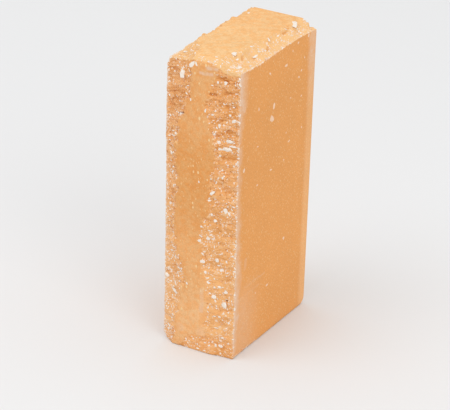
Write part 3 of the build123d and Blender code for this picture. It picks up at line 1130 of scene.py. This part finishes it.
def limestone_material(settings):
    """Grey to white and then cream limestone, each grain in its own tone, with cement left
    on it in places."""
    shader = Shader("limestone")
    grain = settings.grain_colour
    stone = shader.ramp(shader.share("tone"), [
        (0.0, tinted(grain, GREY_GRAIN)),
        (0.3, opaque(grain)),
        (0.65, tinted(grain, WHITE_GRAIN)),
        (1.0, blended(0.4, grain, 0.7, settings.face_colour)),
    ])
    stone = shader.brighten(stone, shader.ease(shader.noise(0.9, 3.0), 0.25, 0.75, 0.9, 1.06))
    left_on = shader.ease(shader.noise(1.8, 3.0), 0.6, 0.72, 0.0, 0.6)
    stone = shader.mix(left_on, stone, opaque(settings.face_colour))
    return shader.finish(stone, 0.8, shader.noise(0.5, 3.0), 0.08 * MM, 0.3)


def floor_material(settings):
    """A plain pale floor."""
    material = bpy.data.materials.new("pale_floor")
    material.use_nodes = True
    surface = material.node_tree.nodes["Principled BSDF"]
    surface.inputs["Base Color"].default_value = opaque(settings.floor_colour)
    surface.inputs["Roughness"].default_value = 0.9
    surface.inputs["Specular IOR Level"].default_value = 0.1
    return material


# Operators


class BRICK_OT_skin(bpy.types.Operator):
    """Make the brick's skin: pressed faces, and rock face along both show faces"""

    bl_idname = "brick.skin"
    bl_label = "Brick skin"

    def execute(self, context):
        settings = context.scene.corner_brick
        points, (round_count, across_count), shares = skin_points(settings)
        faces = grid_faces(round_count, across_count)
        quads = round_count * (across_count - 1)
        smooth = np.ones(len(faces), bool)
        smooth[:quads] = shares["broken"][np.array(faces[:quads])].mean(axis=1) < 0.5
        skin = mesh_object(SKIN_NAME, points, faces, smooth, shares)
        skin.data.materials.append(brick_material(settings))
        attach(skin, "root")
        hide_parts(BRICK_NODE)
        return {"FINISHED"}


class BRICK_OT_grains(bpy.types.Operator):
    """Set white limestone grains into the breaks and the bed"""

    bl_idname = "brick.grains"
    bl_label = "Limestone grains"

    # The grains that are placed one by one are flatter and whiter than the scattered ones and
    # aren't sunk. The smallest ones and those that lie flush in a bed are the creamiest.
    def execute(self, context):
        settings = context.scene.corner_brick_grains
        chance = np.random.default_rng(settings.seed)
        points, normals, broken = read_skin()
        eye = camera_place(context.scene.corner_brick_studio)
        placed = self.placed(points, normals, eye, settings.show)
        small = self.scattered(points, normals, broken, settings, chance)
        places, ways, lengths, widths, turns = (np.concatenate(pair) for pair in zip(placed, small))
        own = np.arange(len(places)) < len(placed[0])
        flush = np.abs(ways[:, 0]) > 0.99
        heights = widths * chance.uniform(0.55, 0.9, size=len(places)) * np.where(own, 0.6, 1)
        sunk = chance.uniform(0.15, 0.32, size=len(places)) * ~own
        sizes = np.stack([lengths, widths, heights], axis=1)
        cloud, faces = grain_cloud(places, ways, sizes, turns, sunk, chance)
        tone = 0.2 + 0.7 * chance.uniform(size=len(places))
        creamy = tone + 0.25 * smooth_step(2.2 * MM, 0.8 * MM, lengths)
        tone = np.where(own, 0.15 + 0.6 * tone, creamy)
        tone = np.where(flush, 0.9 + 0.1 * tone, np.minimum(tone, 1))
        tone = np.repeat(tone, 12)
        grains = mesh_object(GRAINS_NAME, cloud, faces.tolist(), False, {"tone": tone})
        grains.data.materials.append(limestone_material(context.scene.corner_brick))
        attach(grains, "root")
        return {"FINISHED"}

    def placed(self, points, normals, eye, show):
        """The grains that are placed one by one. A row's place on its face's plane is seen
        along a line from the eye, and the grain goes to the skin's point nearest to that
        line, at most SIGHT_REACH behind the plane. It faces halfway between the skin's
        normal there and its face's."""
        found = []
        for table, face, spot in (
            (STRETCHER_GRAINS, (0, -1, 0), lambda row: (row[0], FRONT_PLANE, row[1])),
            (END_GRAINS, (0, 0, 1), lambda row: (row[0], row[1], TOP_PLANE)),
        ):
            face = np.array(face, float)
            able = np.flatnonzero(normals @ face > 0.3)
            for row in table:
                place = np.array(spot(row), float) * MM
                sight = (place - eye) / np.linalg.norm(place - eye)
                offset = points[able] - place
                beyond = offset @ sight
                gap = np.linalg.norm(offset - beyond[:, None] * sight, axis=1)
                gap[(beyond < -1 * MM) | (beyond > SIGHT_REACH)] = np.inf
                nearest = able[gap.argmin()]
                way = normals[nearest] + face
                found.append((points[nearest], way / np.linalg.norm(way), row[2:]))
        for row in BED_GRAINS:
            place = np.array([cad_high[0], row[0] * MM, row[1] * MM])
            found.append((place, np.array([1.0, 0.0, 0.0]), row[2:]))
        places, ways, sizes = (np.array(group, float) for group in zip(*found))
        return places, ways, sizes[:, 0] * show * MM, sizes[:, 1] * show * MM, np.radians(sizes[:, 2])

    def scattered(self, points, normals, broken, settings, chance):
        """Small grains on random broken points of the skin, most of them near the smallest
        length. They lie in loose clumps, and more of them low down, the most on the left
        there, where the stone faces up, and at the lips and arrises."""
        able = np.flatnonzero(broken > 0.5)
        near_arris = smooth_step(0.90, 0.99, np.abs(points[able, 0]) / cad_high[0])
        heights, shares = np.transpose(SMALL_GRAINS)
        likely = np.interp(points[able, 2], heights * MM, shares) + 1.6 * (normals[able, 2] > 0.6)
        likely = likely + 2 * near_arris + 1.5 * (broken[able] < 0.95)
        likely = likely + 1.2 * (points[able, 0] < 0) * (points[able, 2] < 100 * MM)
        clumps = lattice_noise(points[able], CLUMP_CELL, settings.seed)
        likely = likely * (0.3 + 1.4 * smooth_step(-0.3, 0.5, clumps))
        pick = chance.choice(able, size=settings.count, replace=False, p=likely / likely.sum())
        spread = chance.uniform(size=settings.count) ** 2.5
        lengths = settings.smallest + (settings.largest - settings.smallest) * spread
        widths = lengths * chance.uniform(0.45, 0.8, size=settings.count)
        turns = chance.uniform(0, math.pi, size=settings.count)
        return points[pick], normals[pick], lengths, widths, turns


class BRICK_OT_studio(bpy.types.Operator):
    """Make the pale floor, the soft light and the camera"""

    bl_idname = "brick.studio"
    bl_label = "Studio"

    def execute(self, context):
        settings = context.scene.corner_brick_studio
        corners = FLOOR_REACH * np.array([(-1, -1, 0), (1, -1, 0), (1, 1, 0), (-1, 1, 0)])
        floor = mesh_object("floor", corners, [(0, 1, 2, 3)], False, {})
        floor.data.materials.append(floor_material(settings))
        floor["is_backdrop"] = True
        self.sky(settings)
        self.lamp("key", KEY_WAY, settings.key_power, settings.key_colour)
        self.lamp("fill", FILL_WAY, settings.fill_power, settings.fill_colour)
        self.camera(settings)
        context.scene.view_settings.view_transform = "Standard"
        return {"FINISHED"}

    def sky(self, settings):
        """Even light from all round."""
        world = bpy.data.worlds.new("studio_sky")
        world.use_nodes = True
        bpy.context.scene.world = world
        background = world.node_tree.nodes["Background"]
        background.inputs["Color"].default_value = (1, 1, 1, 1)
        background.inputs["Strength"].default_value = settings.sky_strength

    def lamp(self, name, way, power, colour):
        """A large round lamp, LAMP_DISTANCE away from the brick along a way."""
        light = bpy.data.lights.new(name, "AREA")
        light.shape = "DISK"
        light.size = LAMP_SIZE
        light.energy = power
        light.color = colour
        lamp = bpy.data.objects.new(name, light)
        lamp.location = np.array(way) / np.linalg.norm(way) * LAMP_DISTANCE
        lamp.rotation_mode = "QUATERNION"
        lamp.rotation_quaternion = lamp.location.to_track_quat("Z", "Y")
        bpy.context.scene.collection.objects.link(lamp)

    def camera(self, settings):
        """A camera on its line of sight through the aim, turned about that line by the roll."""
        camera = bpy.data.objects.new("camera", bpy.data.cameras.new("camera"))
        camera.data.lens = settings.lens
        camera.location = camera_place(settings)
        camera.rotation_euler = (math.pi / 2 - settings.elevation, 0, settings.azimuth)
        level = camera.rotation_euler.to_quaternion()
        camera.rotation_mode = "QUATERNION"
        camera.rotation_quaternion = Quaternion(camera_way(settings), settings.roll) @ level
        bpy.context.scene.collection.objects.link(camera)
        bpy.context.scene.camera = camera


def camera_way(settings):
    """The way from the aim to the camera: the azimuth from -Y, and the elevation above level."""
    level = math.cos(settings.elevation)
    return np.array([
        math.sin(settings.azimuth) * level,
        -math.cos(settings.azimuth) * level,
        math.sin(settings.elevation),
    ])


def camera_place(settings):
    """Where the camera stands: its distance from the aim along its way."""
    return np.array(settings.aim) + camera_way(settings) * settings.distance


class BRICK_PT_panel(bpy.types.Panel):
    """Lists the operators and their settings"""

    bl_label = "Corner brick"
    bl_idname = "BRICK_PT_panel"
    bl_space_type = "VIEW_3D"
    bl_region_type = "UI"
    bl_category = "Brick"

    def draw(self, context):
        groups = (
            (context.scene.corner_brick, BRICK_OT_skin),
            (context.scene.corner_brick_grains, BRICK_OT_grains),
            (context.scene.corner_brick_studio, BRICK_OT_studio),
        )
        for settings, operator in groups:
            box = self.layout.box()
            for name in settings.bl_rna.properties.keys():
                if name not in ("rna_type", "name"):
                    box.prop(settings, name)
            box.operator(operator.bl_idname)


CLASSES = (
    BrickSettings, GrainSettings, StudioSettings,
    BRICK_OT_skin, BRICK_OT_grains, BRICK_OT_studio, BRICK_PT_panel,
)


def register():
    for each in CLASSES:
        bpy.utils.register_class(each)
    bpy.types.Scene.corner_brick = PointerProperty(type=BrickSettings)
    bpy.types.Scene.corner_brick_grains = PointerProperty(type=GrainSettings)
    bpy.types.Scene.corner_brick_studio = PointerProperty(type=StudioSettings)


def unregister():
    del bpy.types.Scene.corner_brick_studio
    del bpy.types.Scene.corner_brick_grains
    del bpy.types.Scene.corner_brick
    for each in reversed(CLASSES):
        bpy.utils.unregister_class(each)


def main():
    """Builds everything in order."""
    register()
    bpy.ops.brick.skin()
    bpy.ops.brick.grains()
    bpy.ops.brick.studio()


if __name__ == "__main__":
    main()
